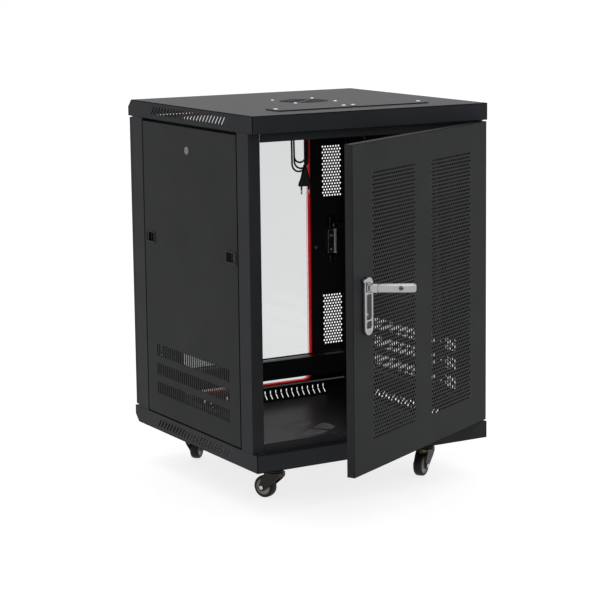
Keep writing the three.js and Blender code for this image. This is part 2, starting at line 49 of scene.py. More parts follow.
X, Y, Z = (1, 0, 0), (0, 1, 0), (0, 0, 1)
MM = 0.001
HALF = 300  # half of the width, and of the depth
GROUND = 92  # the underside of the base
TOP = 859
TRAY = 38  # the height of the walls of the cover and of the base
CHAMFER = 17
MIDDLE = ((base_low[0] + base_high[0]) / 2, (base_low[1] + base_high[1]) / 2, 0)
PLACE = Matrix.Translation(MIDDLE) @ Matrix.Scale(MM, 4)
HINGE = (292, -291)
DOOR_OPEN = math.radians(28)
DOOR_X = (-298, 297)
DOOR_Z = (133.5, 817.5)
DOOR_FACE = -299.5
DOOR_SKIN = 1.5
HANDLE = (-247, DOOR_FACE, 522)
HUB_HOLE = 10.4
SIDE_FACE = 299.5
SIDE_REACH = 226


def turn(axis, degrees):
    return Matrix.Rotation(math.radians(degrees), 4, axis)


def shift(x, y, z):
    return Matrix.Translation((x, y, z))


MESH_DOOR = (PLACE @ shift(*HINGE, 0) @ Matrix.Rotation(DOOR_OPEN, 4, "Z")
             @ shift(-HINGE[0], -HINGE[1], 0))
GLASS_DOOR = PLACE @ turn("Z", 180)


# ---- Camera and light ----

def make_camera():
    """The view was solved from corners and screws seen in the photo."""
    data = bpy.data.cameras.new("camera")
    camera = bpy.data.objects.new("camera", data)
    bpy.context.collection.objects.link(camera)
    yaw, pitch, roll = 31.42, 9.01, -0.49
    data.sensor_width = 36
    data.lens = 121.56
    data.shift_x, data.shift_y = -0.08, -0.06
    data.clip_start, data.clip_end = 0.1, 100
    eye = PLACE @ Vector((-2328.9, -4000.0, 1214.7))
    camera.matrix_world = (Matrix.Translation(eye) @ turn("Z", -yaw) @ turn("X", 90 - pitch)
                           @ turn("Z", roll))
    bpy.context.scene.camera = camera


def area_light(name, place, target, size, power):
    data = bpy.data.lights.new(name, "AREA")
    data.shape = "RECTANGLE"
    data.size, data.size_y = size
    data.energy = power
    lamp = bpy.data.objects.new(name, data)
    bpy.context.collection.objects.link(lamp)
    lamp.location = place
    lamp.rotation_euler = (Vector(target) - Vector(place)).to_track_quat("-Z", "Y").to_euler()


def make_studio():
    area_light("key", (-1.2, -4.2, 3.4), (0, 0, 0.45), (2.4, 2.4), 34)
    area_light("fill", (3.4, -3.0, 1.8), (0, 0, 0.4), (2.0, 2.0), 20)
    area_light("top", (0.2, 0.8, 3.6), (0, 0, 0.5), (3.0, 3.0), 40)
    world = bpy.data.worlds.new("studio")
    world.use_nodes = True
    background = world.node_tree.nodes["Background"]
    background.inputs["Color"].default_value = (1, 1, 1, 1)
    background.inputs["Strength"].default_value = 1.0
    bpy.context.scene.world = world
    bpy.context.scene.view_settings.view_transform = "Standard"
    reach = 30
    corners = [(x, y, 0) for x, y in rectangle(-reach, reach, -reach, reach)]
    mesh = bpy.data.meshes.new("floor")
    mesh.from_pydata(corners, [], [(0, 1, 2, 3)])
    floor = bpy.data.objects.new("floor", mesh)
    bpy.context.collection.objects.link(floor)
    floor.data.materials.append(plain_floor())


# ---- Materials ----

NOISE_SPAN = (0.3, 0.7)  # where most of a noise texture's values lie


def new_material(name):
    made = bpy.data.materials.new(name)
    made.use_nodes = True
    return made, made.node_tree, made.node_tree.nodes["Principled BSDF"]


def noise(tree, scale, detail):
    place = tree.nodes.new("ShaderNodeTexCoord")
    texture = tree.nodes.new("ShaderNodeTexNoise")
    texture.inputs["Scale"].default_value = scale
    texture.inputs["Detail"].default_value = detail
    tree.links.new(place.outputs["Object"], texture.inputs["Vector"])
    return texture.outputs["Fac"]


def ramp(tree, value, low, high):
    made = tree.nodes.new("ShaderNodeValToRGB")
    for stop, position, color in zip(made.color_ramp.elements, NOISE_SPAN, (low, high)):
        stop.position = position
        stop.color = (*color, 1)
    tree.links.new(value, made.inputs["Fac"])
    return made.outputs["Color"]


def spread(tree, value, low, high):
    made = tree.nodes.new("ShaderNodeMapRange")
    made.inputs["From Min"].default_value, made.inputs["From Max"].default_value = NOISE_SPAN
    made.inputs["To Min"].default_value, made.inputs["To Max"].default_value = low, high
    tree.links.new(value, made.inputs["Value"])
    return made.outputs["Result"]


def bump(tree, value, strength, distance, before=None):
    made = tree.nodes.new("ShaderNodeBump")
    made.inputs["Strength"].default_value = strength
    made.inputs["Distance"].default_value = distance
    tree.links.new(value, made.inputs["Height"])
    if before:
        tree.links.new(before, made.inputs["Normal"])
    return made.outputs["Normal"]


def finish(name, color, rough, metallic=0.0, grain=1800, depth=0.0002, drift=0.12,
           specular=0.5, painted_glow=0.0):
    """A base colour that drifts a little, a grain in the bump and an uneven gloss. painted_glow,
    where given, is painted light: an emission in the base colour on a part that is no lamp.
    """
    made, tree, shader = new_material(name)
    fine = noise(tree, grain, 2)
    broad = noise(tree, 9, 4)
    low = [c * (1 - drift) for c in color]
    high = [min(1, c * (1 + drift)) for c in color]
    tree.links.new(ramp(tree, broad, low, high), shader.inputs["Base Color"])
    tree.links.new(spread(tree, fine, rough - 0.05, rough + 0.05), shader.inputs["Roughness"])
    shader.inputs["Metallic"].default_value = metallic
    shader.inputs["Specular IOR Level"].default_value = specular
    # painted light: the emission makes the part look lit
    if painted_glow:
        shader.inputs["Emission Color"].default_value = (*color, 1)
        shader.inputs["Emission Strength"].default_value = painted_glow
    rounded = tree.nodes.new("ShaderNodeBevel")
    rounded.samples = 4
    rounded.inputs["Radius"].default_value = 0.0008
    normal = bump(tree, fine, 0.35, depth, rounded.outputs["Normal"])
    tree.links.new(normal, shader.inputs["Normal"])
    return made


def plain_floor():
    made, tree, shader = new_material("pale_floor")
    broad = noise(tree, 0.6, 2)
    color = ramp(tree, broad, (0.22, 0.22, 0.22), (0.24, 0.24, 0.24))
    tree.links.new(color, shader.inputs["Base Color"])
    shader.inputs["Roughness"].default_value = 0.9
    shader.inputs["Emission Color"].default_value = (1, 1, 1, 1)
    shader.inputs["Emission Strength"].default_value = 0.78
    return made


def clear_glass():
    made, tree, shader = new_material("door_glass")
    broad = noise(tree, 2, 2)
    color = ramp(tree, broad, (0.69, 0.705, 0.71), (0.71, 0.72, 0.725))
    tree.links.new(color, shader.inputs["Base Color"])
    shader.inputs["Roughness"].default_value = 0.0
    shader.inputs["Transmission Weight"].default_value = 1.0
    return made


POWDER = finish("black_powder_coat", (0.0165, 0.0172, 0.0190), 0.42, depth=0.00025,
                specular=0.045)
# the same black powder coat, painted a little darker on the cover and the plates on it: painted
# shade; it also has less specular
COVER_PAINTED_SHADE_POWDER = finish("cover_powder_coat_painted_shade", (0.0150, 0.0160, 0.0184), 0.4, specular=0.035)
# the same black powder coat, painted a little lighter on the floor inside the cabinet: painted
# light; its higher specular gives real reflections
FLOOR_PAINTED_LIGHT_POWDER = finish("floor_powder_coat_painted_light", (0.019, 0.0195, 0.021), 0.38, specular=0.42)
PANEL = finish("textured_powder_coat", (0.0165, 0.0172, 0.0180), 0.5, grain=1400, depth=0.0003,
               specular=0.045)
# the same black powder coat as the panels, painted a little lighter: painted sheen for the
# highlights on the web between the holes
MESH_PAINTED_SHEEN_POWDER = finish("mesh_powder_coat_painted_sheen", (0.0185, 0.0192, 0.0205), 0.45, grain=1400, depth=0.0003,
                    specular=0.06)
RAIL = finish("rail_powder_coat", (0.008, 0.0085, 0.0095), 0.4, specular=0.15)
SATIN = finish("satin_nickel", (0.36, 0.36, 0.37), 0.3, 1.0, grain=900, depth=0.00006, drift=0.06)
CHROME = finish("bright_chrome", (0.5, 0.5, 0.51), 0.2, 1.0, grain=300, depth=0.00002, drift=0.04)
# dark metal of the lock faces and the lock bracket; on the satin handle it also stands as painted
# shade in the plate's pockets
GUNMETAL_AND_POCKET_SHADE = finish("dark_lock_face_and_pocket_shade", (0.10, 0.10, 0.105), 0.34, 1.0, grain=800, depth=0.00005)
ZINC = finish("zinc_plate", (0.46, 0.47, 0.46), 0.3, 1.0, grain=600, depth=0.00005, drift=0.15)
BRASSY = finish("yellow_passivated_zinc", (0.52, 0.42, 0.22), 0.33, 1.0, grain=500, depth=0.00005,
                drift=0.2)
BLACK_PLASTIC = finish("black_plastic", (0.0045, 0.0045, 0.005), 0.42, grain=1200, depth=0.0001,
                       specular=0.12)
FAN_PLASTIC = finish("fan_plastic", (0.018, 0.018, 0.02), 0.45, grain=1000, depth=0.0001)
CORD = finish("cord_sheath", (0.007, 0.007, 0.008), 0.42, grain=900, depth=0.00008, specular=0.2)
# the trim's red is its own colour; its emission is painted light, a glow on trim that is no lamp
RED = finish("red_trim", (0.62, 0.006, 0.006), 0.45, grain=700, depth=0.00004, drift=0.08,
             specular=0.12, painted_glow=0.3)
CASTER_BLACK = finish("caster_black", (0.0125, 0.0105, 0.009), 0.38, 0.2, grain=900, specular=0.2)
TREAD = finish("wheel_tread", (0.0065, 0.0063, 0.006), 0.5, grain=700, depth=0.00015, specular=0.15)
CORE = finish("wheel_core", (0.17, 0.158, 0.14), 0.5, grain=500, depth=0.0001)
# painted shade: a near black, matt material put in screw crosses, keyholes, latch pockets and the
# lock bracket's middle, where shade falls
PAINTED_SHADE = finish("painted_recess_shade", (0.006, 0.006, 0.006), 0.8, grain=300)
GLASS = clear_glass()


# ---- Building pieces: a piece collects shells in millimetres, then rides on its body ----

class Piece:
    def __init__(self, name, body, place=PLACE):
        self.name, self.body, self.place = name, body, place
        self.mesh = bmesh.new()
        self.materials = []

    def index(self, material):
        if material not in self.materials:
            self.materials.append(material)
        return self.materials.index(material)

    def add(self, made, material, matrix=Matrix.Identity(4), smooth=False):
        """Adds a mesh datablock or a bmesh."""
        scratch = made if isinstance(made, bmesh.types.BMesh) else None
        if scratch is None:
            scratch = bmesh.new()
            scratch.from_mesh(made)
            bpy.data.meshes.remove(made)
        slot = self.index(material)
        flipped = matrix.determinant() < 0
        for face in scratch.faces:
            face.material_index = slot
            face.smooth = smooth
        if flipped:
            bmesh.ops.reverse_faces(scratch, faces=scratch.faces)
        bmesh.ops.transform(scratch, matrix=matrix, verts=scratch.verts)
        joined = bpy.data.meshes.new("join")
        scratch.to_mesh(joined)
        scratch.free()
        self.mesh.from_mesh(joined)
        bpy.data.meshes.remove(joined)
        return self

    def done(self, slot, *replaced):
        mesh = bpy.data.meshes.new(self.name)
        bmesh.ops.transform(self.mesh, matrix=self.place, verts=self.mesh.verts)
        self.mesh.to_mesh(mesh)
        self.mesh.free()
        for material in self.materials:
            mesh.materials.append(material)
        made = bpy.data.objects.new(self.name, mesh)
        bpy.context.collection.objects.link(made)
        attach(made, self.body)
        if replaced:
            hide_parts(*replaced)
        return made


def plate(outline, holes, thick, edge=0.4, rings=1):
    """A sheet in the XY plane from z = 0 to z = thick, with rounded edges and holes through it."""
    curve = bpy.data.curves.new("plate", "CURVE")
    curve.dimensions = "2D"
    curve.fill_mode = "BOTH"
    curve.extrude = max(thick / 2 - edge, 0.01)
    curve.bevel_depth = edge
    curve.bevel_resolution = rings
    curve.offset = -edge
    for points in (outline, *holes):
        spline = curve.splines.new("POLY")
        spline.points.add(len(points) - 1)
        for point, (x, y) in zip(spline.points, points):
            point.co = (x, y, 0, 1)
        spline.use_cyclic_u = True
    made = bpy.data.objects.new("plate", curve)
    mesh = bpy.data.meshes.new_from_object(made)
    bpy.data.objects.remove(made)
    bpy.data.curves.remove(curve)
    mesh.transform(Matrix.Translation((0, 0, thick / 2)))
    return mesh


def rectangle(x0, x1, y0, y1):
    return [(x0, y0), (x1, y0), (x1, y1), (x0, y1)]


def round_rectangle(x0, x1, y0, y1, r, steps=6):
    points = []
    corners = ((x1 - r, y0 + r, -90), (x1 - r, y1 - r, 0),
               (x0 + r, y1 - r, 90), (x0 + r, y0 + r, 180))
    for cx, cy, start in corners:
        for i in range(steps + 1):
            a = math.radians(start + 90 * i / steps)
            points.append((cx + r * math.cos(a), cy + r * math.sin(a)))
    return points


def circle(cx, cy, r, sides=24):
    step = 2 * math.pi / sides
    return [(cx + r * math.cos(i * step), cy + r * math.sin(i * step)) for i in range(sides)]


def slot_hole(cx, cy, length, width, degrees):
    """A round-ended slot whose length runs at that angle from X."""
    half = length / 2 - width / 2
    a = math.radians(degrees)
    points = []
    for end in (1, -1):
        for i in range(5):
            b = a + math.radians(-90 + 45 * i + (0 if end > 0 else 180))
            points.append((cx + end * half * math.cos(a) + width / 2 * math.cos(b),
                           cy + end * half * math.sin(a) + width / 2 * math.sin(b)))
    return points


def axes(x, y, z, origin=(0, 0, 0)):
    """The matrix that sends X, Y and Z to the given directions, about an origin."""
    made = Matrix((x, y, z)).transposed().to_4x4()
    return Matrix.Translation(origin) @ made


def lathe(profile, sides=32):
    """A turned solid about Z, from (radius, z) points, closed on the axis or on itself."""
    made = bmesh.new()
    rings = []
    for r, z in profile:
        if r < 1e-6:
            rings.append([made.verts.new((0, 0, z))])
        else:
            rings.append([made.verts.new((x, y, z)) for x, y in circle(0, 0, r, sides)])
    for low, high in zip(rings, rings[1:]):
        for i in range(sides):
            j = (i + 1) % sides
            loop = [low[i % len(low)], low[j % len(low)], high[j % len(high)], high[i % len(high)]]
            unique = list(dict.fromkeys(loop))
            if len(unique) > 2:
                made.faces.new(unique)
    bmesh.ops.recalc_face_normals(made, faces=made.faces)
    return made


def disc(r, z0, z1, round_by=0.5, sides=32):
    profile = [(0, z0), (r - round_by, z0), (r, z0 + round_by),
               (r, z1 - round_by), (r - round_by, z1), (0, z1)]
    return lathe(profile, sides)


def rounded_box(x0, x1, y0, y1, z0, z1, radius=1.0, segments=2):
    made = bmesh.new()
    bmesh.ops.create_cube(made, size=1)
    middle = shift((x0 + x1) / 2, (y0 + y1) / 2, (z0 + z1) / 2)
    matrix = middle @ Matrix.Diagonal((x1 - x0, y1 - y0, z1 - z0, 1))
    bmesh.ops.transform(made, matrix=matrix, verts=made.verts)
    if radius:
        bmesh.ops.bevel(made, geom=made.edges, offset=radius, segments=segments,
                        affect="EDGES", profile=0.5)
    return made


def perforated(x0, x1, z0, z1, pitch, hole, thick, row=0.0, sides=8):
    """A sheet in the XY plane full of staggered round holes, from z = 0 to z = thick.
    pitch runs along X and row up the sheet; with no row the holes stand in even triangles."""
    made = bmesh.new()
    row = row or pitch * math.sqrt(3) / 2
    across, up = int((x1 - x0) / pitch), int((z1 - z0) / row)
    step_x, step_z = (x1 - x0) / (across + 0.5), (z1 - z0) / up
    angles = [(i + 0.5) * math.tau / sides for i in range(sides)]
    ring = [(math.cos(a), math.sin(a)) for a in angles]

    def on_tile(cx, cz, c, s):
        reach = 1 / max(abs(c) / (step_x / 2), abs(s) / (step_z / 2))
        return cx + reach * c, cz + reach * s

    for j in range(up):
        for i in range(across):
            cx = x0 + step_x * (i + 0.5 + 0.5 * (j % 2))
            cz = z0 + step_z * (j + 0.5)
            layers = []
            for level, height in ((0, 0), (1, 0), (1, thick), (0, thick)):
                points = []
                for c, s in ring:
                    on_hole = (cx + hole / 2 * c, cz + hole / 2 * s)
                    x, z = on_hole if level else on_tile(cx, cz, c, s)
                    points.append(made.verts.new((x, z, height)))
                layers.append(points)
            for low, high in zip(layers, layers[1:]):
                for k in range(sides):
                    n = (k + 1) % sides
                    made.faces.new((low[k], high[k], high[n], low[n]))
            corners = []
            for sx, sz in ((1, 1), (-1, 1), (-1, -1), (1, -1)):
                corners.append((cx + sx * step_x / 2, cz + sz * step_z / 2, sx, sz))
            for x, z, sx, sz in corners:
                near = [k for k in range(sides) if ring[k][0] * sx > 0 and ring[k][1] * sz > 0]
                for layer, height, back in ((layers[0], 0, True), (layers[3], thick, False)):
                    tip = made.verts.new((x, z, height))
                    loop = [layer[near[0]], tip, layer[near[-1]]]
                    made.faces.new(loop[::-1] if back else loop)
        x = x0 if j % 2 else x0 + step_x * across
        z = z0 + step_z * j
        for height, back in ((0, True), (thick, False)):
            half_tile = rectangle(x, x + step_x / 2, z, z + step_z)
            loop = [made.verts.new((*corner, height)) for corner in half_tile]
            made.faces.new(loop[::-1] if back else loop)
    return made


def screw(piece, x, y, z, normal, r=4.0, material=ZINC, high=2.2):
    """A cross-recessed pan head standing on a face."""
    profile = [(0, high * 0.72), (r * 0.28, high * 0.72), (r * 0.32, high),
               (r * 0.6, high * 0.96), (r * 0.88, high * 0.6), (r, 0.2), (r, -0.4)]
    up = Vector(normal).normalized()
    matrix = Matrix.Translation((x, y, z)) @ up.to_track_quat("Z", "Y").to_matrix().to_4x4()
    piece.add(lathe(profile, 20), material, matrix, smooth=True)
    # the cross recess: two bars of painted shade in the head
    for a in (20, 110):
        arm = rounded_box(-r * 0.55, r * 0.55, -r * 0.09, r * 0.09, high * 0.75, high * 0.97, 0)
        piece.add(arm, PAINTED_SHADE, matrix @ turn("Z", a))


# ---- Top cover and base ----

REAR_SLOT = 1.3  # half the width of a slot along the rear bend
TURN_IN = 281


def side_slots(lean, center=18.5, reach=169, count=24, length=24.5, width=4.0):
    pitch = 2 * reach / (count - 1)
    return [slot_hole(-reach + i * pitch, center, length, width, lean) for i in range(count)]


def rear_slots(low, high, pitch=15.2, count=30):
    centres = [(i - (count - 1) / 2) * pitch for i in range(count)]
    return [rectangle(x - REAR_SLOT, x + REAR_SLOT, low, high) for x in centres]


def tray_walls(piece, face, up, material, sheet_material, sheet_holes, lean):
    """The sheet of a tray and its walls. face is the height of the sheet; up is 1 for the base,
    -1 for the cover."""
    thick = 2.0
    z = (0, 0, up)
    # the sheet itself, and its chamfer along the rear
    sheet = plate(rectangle(-HALF, HALF, -HALF, HALF - CHAMFER + 0.4), sheet_holes, thick, 0.5)
    piece.add(sheet, sheet_material, axes(X, Y, z, (0, 0, face)))
    run = CHAMFER * math.sqrt(2)
    half = math.sqrt(0.5)
    chamfer = plate(rectangle(-HALF, HALF, -0.4, run + 0.4), rear_slots(8, run - 0.6), thick, 0.4)
    piece.add(chamfer, material, axes(X, (0, half, half * up), (0, -half, half * up),
                                      (0, HALF - CHAMFER, face)))
    # front and rear walls
    front = plate(rectangle(-HALF, HALF, 0, TRAY), [], thick, 0.5)
    piece.add(front, material, axes(X, z, Y, (0, -HALF, face)))
    rear = plate(rectangle(-HALF, HALF, CHAMFER - 0.4, TRAY),
                 rear_slots(CHAMFER + 0.6, CHAMFER + 9), thick, 0.4)
    piece.add(rear, material, axes(X, z, (0, -1, 0), (0, HALF, face)))
    # side walls, with their slanted slots
    side = [(-HALF, 0), (HALF - CHAMFER, 0), (HALF, CHAMFER), (HALF, TRAY), (-HALF, TRAY)]
    for sign in (-1, 1):
        wall = plate(side, side_slots(lean), thick, 0.5)
        piece.add(wall, material, axes(Y, z, (-sign, 0, 0), (sign * HALF, 0, face)))
    # the flange that turns in, the strips behind the side panels and the lip behind the front
    flange_height = face + up * (TRAY - 2)
    flange = plate(rectangle(-HALF + 0.6, HALF - 0.6, -HALF + 0.6, HALF - 0.6),
                   [rectangle(-286, 286, -279, TURN_IN)], thick, 0.4)
    piece.add(flange, material, axes(X, Y, z, (0, 0, flange_height)))
    for sign in (-1, 1):
        strip = plate(rectangle(-228, 228, 0, 16), [], 1.5, 0.4)
        piece.add(strip, material, axes(Y, z, (-sign, 0, 0), (sign * 282.5, 0, flange_height)))
    lip = plate(rectangle(-271.2, 271.2, 0, 22), [], thick, 0.4)
    piece.add(lip, material, axes(X, z, Y, (0, -TURN_IN, flange_height)))


def fan_grille():
    """Rings of four arcs each, parted by the spokes."""
    holes = []
    pitch, half_spoke, steps = 7.2, 3.2, 6
    for ring in range(7):
        inner, outer = 8 + ring * pitch, 12.8 + ring * pitch
        for quarter in range(4):
            start = math.radians(quarter * 90 + 45) + half_spoke / outer
            end = math.radians(quarter * 90 + 135) - half_spoke / outer
            arc = [start + (end - start) * i / steps for i in range(steps + 1)]
            holes.append([(outer * math.cos(a), outer * math.sin(a)) for a in arc]
                         + [(inner * math.cos(a), inner * math.sin(a)) for a in reversed(arc)])
    return holes


def floor_vent():
    """Two lobes of parallel slots in the floor, inside a circle."""
    holes = []
    lean, r, pitch, width = 36, 66, 7.6, 2.6
    middle_bar, cross_bar, rim = 9, 6, 8
    a = math.radians(lean)
    across, along = Vector((-math.sin(a), math.cos(a))), Vector((math.cos(a), math.sin(a)))
    for i in range(-8, 9):
        offset = i * pitch
        if abs(offset) < middle_bar or abs(offset) > r - rim:
            continue
        half = math.sqrt(r * r - offset * offset)
        for sign in (-1, 1):
            middle = across * offset + along * (sign * (half + cross_bar) / 2)
            holes.append(slot_hole(middle.x, middle.y, half - cross_bar, width, lean))
    return holes


def build_trays():
    cover = Piece("cover_shell", "cabinet")
    # the cover takes the darker powder coat with painted shade
    tray_walls(cover, TOP, -1, COVER_PAINTED_SHADE_POWDER, COVER_PAINTED_SHADE_POWDER, fan_grille(), 48)
    fan_hole = 52.5
    for x in (-fan_hole, fan_hole):
        for y in (-fan_hole, fan_hole):
            screw(cover, x, y, TOP, Z, 4.6)
    cover.done("frame_steel", "top_cover")
    base = Piece("base_shell", "cabinet")
    # the floor sheet takes the lighter powder coat with painted light
    tray_walls(base, GROUND, 1, POWDER, FLOOR_PAINTED_LIGHT_POWDER, floor_vent(), 132)
    base.done("frame_steel", "base_tray")
    plates = Piece("cable_entry_plates", "cabinet")
    for sign in (-1, 1):
        cx = 98 * sign
        outline = round_rectangle(cx - 95, cx + 95, -226, -164, 4)
        plates.add(plate(outline, [], 2.0, 0.5), COVER_PAINTED_SHADE_POWDER, shift(0, 0, TOP + 0.3))
        for x in (12, 184):
            screw(plates, sign * x, -195, TOP + 2.3, Z, 5.4)
    plates.done("frame_steel", "cable_plate_left", "cable_plate_right")


# ---- Rails with their cage nut holes ----

UNIT = 44.45
UNITS = 15
UNIT_HOLES = (6.35, 22.225, 38.1)
HOLE_COLUMN = 232.55
NUT_HALF = 4.75
RAIL_Z = (142.1, 808.9)


def build_rails():
    z0, z1 = RAIL_Z
    for end, ey in (("front", -1), ("rear", 1)):
        for side, sx in (("left", -1), ("right", 1)):
            piece = Piece(f"{end}_{side}_rail", "cabinet")
            holes = []
            for unit in range(UNITS):
                for offset in UNIT_HOLES:
                    z = z0 + unit * UNIT + offset
                    holes.append(rectangle(HOLE_COLUMN - NUT_HALF, HOLE_COLUMN + NUT_HALF,
                                           z - NUT_HALF, z + NUT_HALF))
            flange = plate(rectangle(225, 261.7, z0, z1), holes, 2, 0.35)
            piece.add(flange, RAIL, axes((sx, 0, 0), Z, (0, -ey, 0), (0, ey * 190, 0)))
            ovals = [slot_hole(171, z0 + 22.2 + i * UNIT, 16, 7, 0) for i in range(UNITS)]
            web = plate(rectangle(152, 190, z0, z1), ovals, 2, 0.35)
            piece.add(web, RAIL, axes((0, ey, 0), Z, (-sx, 0, 0), (sx * 261.7, 0, 0)))
            piece.done("rail_steel", f"rail_{end}_{side}")


# ---- Doors ----

FACE = axes(X, Z, Y, (0, DOOR_FACE, 0))


def door_skin(piece, holes):
    """The door's sheet and the flanges that turn in from its four edges."""
    (x0, x1), (z0, z1) = DOOR_X, DOOR_Z
    depth = 18
    piece.add(plate(rectangle(x0, x1, z0, z1), holes, DOOR_SKIN, 0.4), PANEL, FACE)
    for x, inward in ((x0, 1), (x1, -1)):
        side = plate(rectangle(0, depth, z0, z1), [], DOOR_SKIN, 0.4)
        piece.add(side, PANEL, axes(Y, Z, (inward, 0, 0), (x, DOOR_FACE, 0)))
    for z, up in ((z0, 1), (z1, -1)):
        end = plate(rectangle(x0, x1, 0, depth), [], DOOR_SKIN, 0.4)
        piece.add(end, PANEL, axes(X, Y, (0, 0, up), (0, DOOR_FACE, z)))


def build_mesh_door():
    z0, z1 = DOOR_Z
    columns = [(-218, -36), (36, 218)]
    overlap = 1
    low, high = 197.5, 757
    door = Piece("mesh_door_sheet", "mesh_door", MESH_DOOR)
    holes = [rectangle(a - overlap, b + overlap, low, high) for a, b in columns]
    door_skin(door, [*holes, circle(HANDLE[0], HANDLE[2], HUB_HOLE)])
    # two stiffening channels behind the plain bands
    for x in (0, 262):
        channel = rounded_box(x - 16, x + 16, -298, -286, z0 + 12, z1 - 12, 0.8, 1)
        door.add(channel, PANEL)
    door.done("panel_steel", "mesh_door_shell")
    for name, (a, b) in zip(("free", "hinge"), columns):
        mesh = Piece(f"mesh_column_{name}_side", "mesh_door", MESH_DOOR)
        sheet = perforated(a - overlap, b + overlap, low, high, 8.15, 6.3, 0.5, 7.9)
        # the web takes the lighter coat with painted sheen
        mesh.add(sheet, MESH_PAINTED_SHEEN_POWDER, FACE)
        mesh.done("panel_steel")


def build_glass_door():
    z0, z1 = DOOR_Z
    door = Piece("glass_door_sheet", "glass_door", GLASS_DOOR)
    window = round_rectangle(-180, 180, z0 + 2.2, z1 - 2.2, 22, 8)
    zones = [(x0, x1, low, high) for low, high in ((218, 346), (591, 720))
             for x0, x1 in ((-280, -222), (222, 280))]
    hub_hole = circle(HANDLE[0], HANDLE[2], HUB_HOLE)
    door_skin(door, [window, hub_hole, *[rectangle(*zone) for zone in zones]])
    # the returns along both sides of the window
    for edge in (-182, 182):
        fold = rounded_box(edge - 1, edge + 1, -298.5, -282.5, z0 + 20, z1 - 20, 0.4, 1)
        door.add(fold, PANEL)
    screw(door, -205, -298, 466, Y, 5, ZINC, 3)
    lock_case(door)
    door.done("panel_steel", "glass_door_frame")
    mesh = Piece("glass_door_perforations", "glass_door", GLASS_DOOR)
    for zone in zones:
        mesh.add(perforated(*zone, 8.0, 5.0, 1.2), PANEL, FACE)
    mesh.done("panel_steel")


# ---- Side panels ----

SIDE_LOCK = (5, 762)
LATCH_HEIGHT = 548


def build_side_panels():
    reach, z0, z1 = SIDE_REACH, 132.5, 815
    vent_reach, vents = 174, 37
    pitch = 2 * vent_reach / (vents - 1)
    for side, sign in (("left", -1), ("right", 1)):
        piece = Piece(f"{side}_panel_sheet", f"side_panel_{side}")
        holes = [circle(*SIDE_LOCK, HUB_HOLE)]
        for a, b in ((-214.5, -175), (175, 214.5)):
            holes.append(rectangle(a, b, LATCH_HEIGHT - 10.5, LATCH_HEIGHT + 10.5))
        for centre in (285, 240, 195.5):
            holes += [slot_hole(-vent_reach + i * pitch, centre, 29, 4.3, 90)
                      for i in range(vents)]
        face = sign * SIDE_FACE
        sheet = plate(rectangle(-reach, reach, z0, z1), holes, 2.0, 0.4)
        piece.add(sheet, PANEL, axes(Y, Z, (-sign, 0, 0), (face, 0, 0)))
        for y, inward in ((-reach, 1), (reach, -1)):
            edge = plate(rectangle(0, 14, z0, z1), [], 1.5, 0.4)
            piece.add(edge, PANEL, axes((-sign, 0, 0), Z, (0, inward, 0), (face, y, 0)))
        for z, up in ((z0, 1), (z1, -1)):
            edge = plate(rectangle(-reach, reach, 0, 14), [], 1.5, 0.4)
            piece.add(edge, PANEL, axes(Y, (-sign, 0, 0), (0, 0, up), (face, 0, z)))
        piece.done("panel_steel", f"side_panel_{side}")


# ---- Swing handles, alike on both doors, built about the hub on the door's face: -Y is out ----

OUTER = axes(X, Z, Y)
OUTWARD = axes(X, Z, (0, -1, 0))
PIVOT = -16.5


def handle_plate(piece, material):
    outline = round_rectangle(-16, 16, -98.5, 21.5, 15.5, 8)
    pockets = [round_rectangle(-10.5, 10.5, -66, -14, 4), round_rectangle(-10.5, 10.5, -84, -70, 4)]
    hub_hole = circle(0, 0, HUB_HOLE)
    piece.add(plate(outline, [hub_hole, *pockets], 8, 1.8, 3), material,
              shift(0, -8.3, 0) @ OUTER, smooth=True)
    # the floor of the pockets; on the satin handle it is dark metal, painted shade in the pockets
    floor = plate(round_rectangle(-14, 14, -96, -12, 13), [], 2, 0.3)
    piece.add(floor, GUNMETAL_AND_POCKET_SHADE if material is SATIN else material, shift(0, -2.6, 0) @ OUTER)
    screw(piece, 0, -2.6, -56, (0, -1, 0), 3.4, material)
    screw(piece, 0, -8.3, -91, (0, -1, 0), 3.6, material, 1.6)
    # the round boss beside the plate's top
    piece.add(disc(4.4, 0, 9, 1.2, 20), material, shift(-15.5, -0.5, 15) @ OUTWARD, smooth=True)


def handle_hub(piece, material):
    barrel = [(0, 9.4), (8.6, 9.4), (10, 8.2), (10, -23.5), (4, -23.5), (4, -26.5), (0, -26.5)]
    piece.add(lathe(barrel, 28), material, OUTWARD)
    piece.add(rounded_box(-4, 4, PIVOT - 2, -9, -4, 4, 0.8), material)
    cam = round_rectangle(-48, 7, -7, 7, 5)
    piece.add(plate(cam, [], 3, 0.5), ZINC, shift(0, 23.5, 0) @ OUTER)
    piece.add(disc(2.3, -9.2, 9.2, 0.3, 16), ZINC, shift(0, PIVOT, 0) @ turn("Y", 90), smooth=True)


def handle_lever(piece, material):
    grip = [(-88, 4.5, 2.2), (-87.2, 7, 3.6), (-85, 8.8, 4.9), (-81, 9.5, 5.6), (-40, 9.5, 5.9),
            (-14, 9.5, 5.6), (-9.5, 9.3, 5.0), (-8.4, 8.6, 4.2)]
    piece.add(loft(grip, 40, 2.7), material, shift(0, -1.2, 0), smooth=True)
    knuckle = [(-9, 9, 2.2), (-2, 9, 2.4), (3, 8.4, 2.2), (6, 6.6, 1.6), (7.2, 3.6, 0.8)]
    piece.add(loft(knuckle, 40, 2.7), material, shift(0, -4.9, 0), smooth=True)
    for x in (-9.4, 4.5):
        cheek = [(5.2, -9), *circle(0, 0, 5.2, 16)[:9], (-5.2, -9)]
        piece.add(plate(cheek, [], 4.9, 0.5, 2), material, axes(Y, Z, X, (x, 0, 0)))


